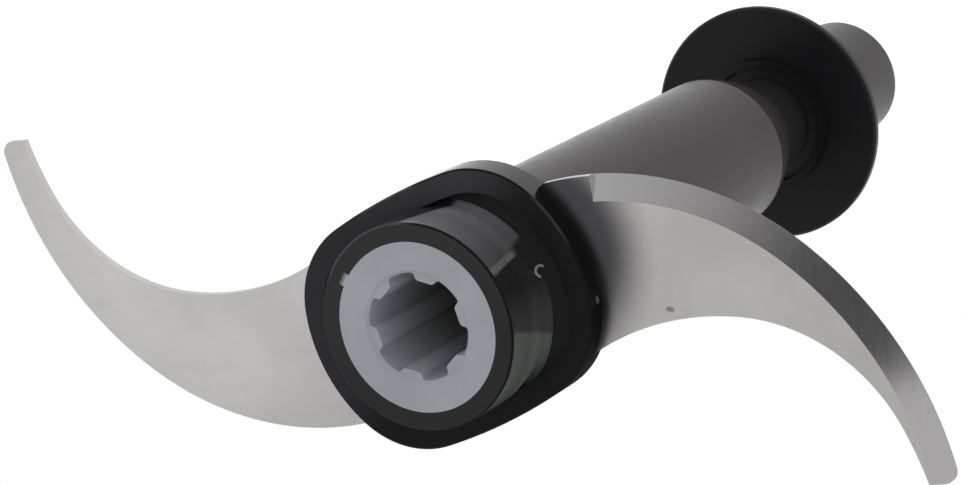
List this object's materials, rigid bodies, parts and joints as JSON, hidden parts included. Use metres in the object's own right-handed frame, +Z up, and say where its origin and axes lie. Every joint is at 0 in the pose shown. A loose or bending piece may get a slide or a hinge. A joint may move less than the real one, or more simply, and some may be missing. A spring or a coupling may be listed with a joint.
{
  "type": "food processor blade",
  "caption": "Curved steel knives moulded into a splined drive hub on a tall tapered stem, with a splash disc and a round top cap that turns in the bowl's lid.",
  "frame": {"origin": "centre of the splined socket in the plane of the open drive face", "axes": "+Y along the shaft from the drive face to the top cap, +Z up as the part lies on its side, +X towards the tip of the knife whose bevel faces the drive end"},
  "size_m": [0.1626, 0.1619, 0.046],
  "materials": {
    "black_hub": "satin black moulding",
    "nylon_insert": "fine off-white nylon",
    "blade_steel": "dull brushed stainless, ground edge",
    "grey_stem": "soft matt warm grey",
    "black_disc": "satin black moulding",
    "grey_cap": "soft matt warm grey"
  },
  "bodies": {
    "root": {"drive_hub": "black_hub", "drive_insert": "nylon_insert", "blade_ground_under": "blade_steel", "blade_ground_over": "blade_steel", "stem_tube": "grey_stem", "splash_disc": "black_disc", "top_cap": "grey_cap"}
  },
  "joints": []
}
